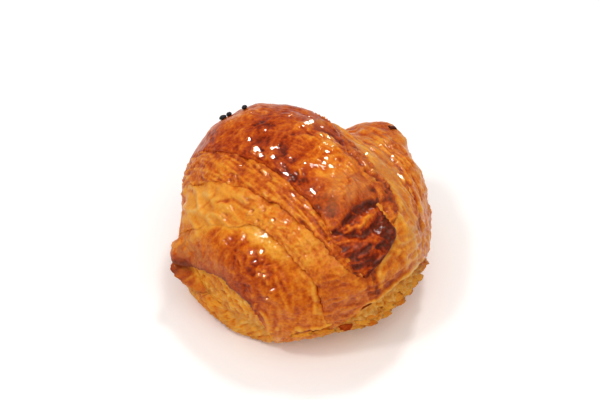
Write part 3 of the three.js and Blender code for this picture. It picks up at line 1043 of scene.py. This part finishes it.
# Flakes that peel off: place, half length along and half width round in mm, turn, lift, how deep the
# fixed side lies, bake.
FLAKES = [
    ((-39, 98), (4.5, 1.3), -4, 0.8, 0.0, 0.30), ((-30, 100), (4.5, 1.1), 3, 0.9, 0.6, 0.32),
    ((61, -8), (1.6, 1.5), 0, 0.3, 0.4, 0.90), ((-20, 104), (2.4, 1.3), 18, 1.8, 1.8, 0.66),
    ((12, 97), (3.4, 1.7), 12, 2.4, 2.2, 0.16), ((5, 96), (2.6, 1.4), -10, 2.2, 2.4, 0.28),
    ((-1, 97), (3.0, 1.5), 6, 2.2, 2.2, 0.22), ((-9, 96), (2.8, 1.3), -8, 2.4, 2.4, 0.34),
    ((-13, 100), (2.6, 1.5), 14, 2.2, 2.0, 0.20), ((-2, 105), (3.2, 1.6), -6, 2.4, 2.0, 0.30),
    ((8, 104), (2.8, 1.6), 10, 2.2, 2.0, 0.36), ((18, 99), (3.0, 1.8), -12, 2.6, 2.2, 0.24),
    ((24, 101), (2.8, 1.7), 8, 2.8, 1.9, 0.14), ((30, 98), (2.4, 1.6), -6, 2.2, 1.8, 0.30),
    ((16, 107), (2.6, 1.4), 4, 2.4, 2.2, 0.40), ((-8, 110), (2.6, 1.4), -12, 2.2, 2.2, 0.44),
]


def flake_points(place, half, turn, lift, sunk, seed):
    """The outer and the inner face of one thin flake with a ragged outline and a raised edge."""
    u, v = np.meshgrid(np.linspace(-1, 1, 15), np.linspace(-1, 1, 11), indexing="ij")
    length = np.hypot(u, v)
    square = np.maximum(np.abs(u), np.abs(v)) / np.maximum(length, 1e-6)
    u, v = u * (0.35 + 0.65 * square), v * (0.35 + 0.65 * square)
    probe = np.stack([u * 1.7, v * 1.7, np.full_like(u, seed)], -1)
    grow = 1 + (0.4 * noise(probe, seed) + 0.5 * noise(probe * 2.6, seed + 2)) * length
    along, round_ = u * half[0] * grow, v * half[1] * grow
    cos, sin = math.cos(math.radians(turn)), math.sin(math.radians(turn))
    q = place[0] + along * cos - round_ * sin
    degrees = place[1] + (along * sin + round_ * cos) / DEGREE
    height = 0.7 - sunk + lift * between(v + 0.5 * u, -0.6, 1.4) + 0.25 * noise(probe * 1.6, seed + 1)
    thickness = 0.22 + 0.25 * (1 - length.clip(0, 1))
    return lay(q, degrees, height + thickness), lay(q, degrees, height - thickness)


def slab_faces(rows, columns, start):
    """Faces of a closed slab whose outer and inner points are two grids, one after the other."""
    index = np.arange(rows * columns).reshape(rows, columns)
    outer = np.stack([index[:-1, :-1], index[:-1, 1:], index[1:, 1:], index[1:, :-1]], -1).reshape(-1, 4)
    rim = np.concatenate([index[0, :-1], index[:-1, -1], index[-1, :0:-1], index[:0:-1, 0]])
    after = np.roll(rim, -1)
    below = rows * columns
    sides = np.stack([rim, rim + below, after + below, after], -1)
    return np.concatenate([outer, outer[:, ::-1] + below, sides]) + start


def build_flakes(material):
    points, faces, bakes = [], [], []
    start = 0
    for number, (place, half, turn, lift, sunk, bake) in enumerate(FLAKES):
        outer, inner = flake_points(place, half, turn, lift, sunk, 300 + 7 * number)
        faces += slab_faces(*outer.shape[:2], start).tolist()
        points += [outer.reshape(-1, 3), inner.reshape(-1, 3)]
        bakes.append(np.full(2 * outer.shape[0] * outer.shape[1], bake))
        start += 2 * outer.shape[0] * outer.shape[1]
    bake = np.concatenate(bakes)
    paint = {"bake": bake, "gloss": np.full_like(bake, 0.2), "paper": 0 * bake, "blush": 0 * bake}
    flakes = mesh_piece("peeled_flakes", np.concatenate(points), faces, paint)
    finish_piece(flakes, material, "croissant")


# ======================= the studio =======================
def add_camera():
    _, up = view_axes(VIEW_AZIMUTH, VIEW_ELEVATION)
    camera = bpy.data.cameras.new("camera")
    camera.sensor_width = 36
    camera.lens = camera.sensor_width * VIEW_DISTANCE / VIEW_WIDTH
    camera.clip_start = 0.01
    seen = bpy.data.objects.new("camera", camera)
    bpy.context.scene.collection.objects.link(seen)
    seen.location = VIEW_PLACE
    aim = VIEW_AIM + up * VIEW_RAISE
    seen.rotation_euler = (seen.location - aim).to_track_quat("Z", "Y").to_euler()
    bpy.context.scene.camera = seen


def add_lamp(name, lamp):
    light = bpy.data.lights.new(name, "AREA")
    light.shape = "RECTANGLE"
    light.size, light.size_y = lamp[3]
    light.energy = lamp[4]
    holder = bpy.data.objects.new(name, light)
    bpy.context.scene.collection.objects.link(holder)
    holder.location = lamp_place(lamp)
    holder.rotation_euler = view_axes(lamp[0], lamp[1])[0].to_track_quat("Z", "Y").to_euler()


def add_studio():
    mesh = bpy.data.meshes.new("floor")
    half = 3.0
    corners = [(-half, -half, 0), (half, -half, 0), (half, half, 0), (-half, half, 0)]
    mesh.from_pydata(corners, [], [(0, 1, 2, 3)])
    floor = bpy.data.objects.new("floor", mesh)
    bpy.context.scene.collection.objects.link(floor)
    mesh.materials.append(floor_material())
    world = bpy.data.worlds.new("studio")
    world.use_nodes = True
    world.node_tree.nodes["Background"].inputs["Color"].default_value = (1, 0.985, 0.97, 1)
    world.node_tree.nodes["Background"].inputs["Strength"].default_value = 0.42
    bpy.context.scene.world = world
    for name, lamp in LAMPS.items():
        add_lamp(name, lamp)
    bpy.context.scene.view_settings.view_transform = "Standard"
    bpy.context.scene.view_settings.gamma = 0.86


add_camera()
add_studio()
build_turns()
build_seeds()
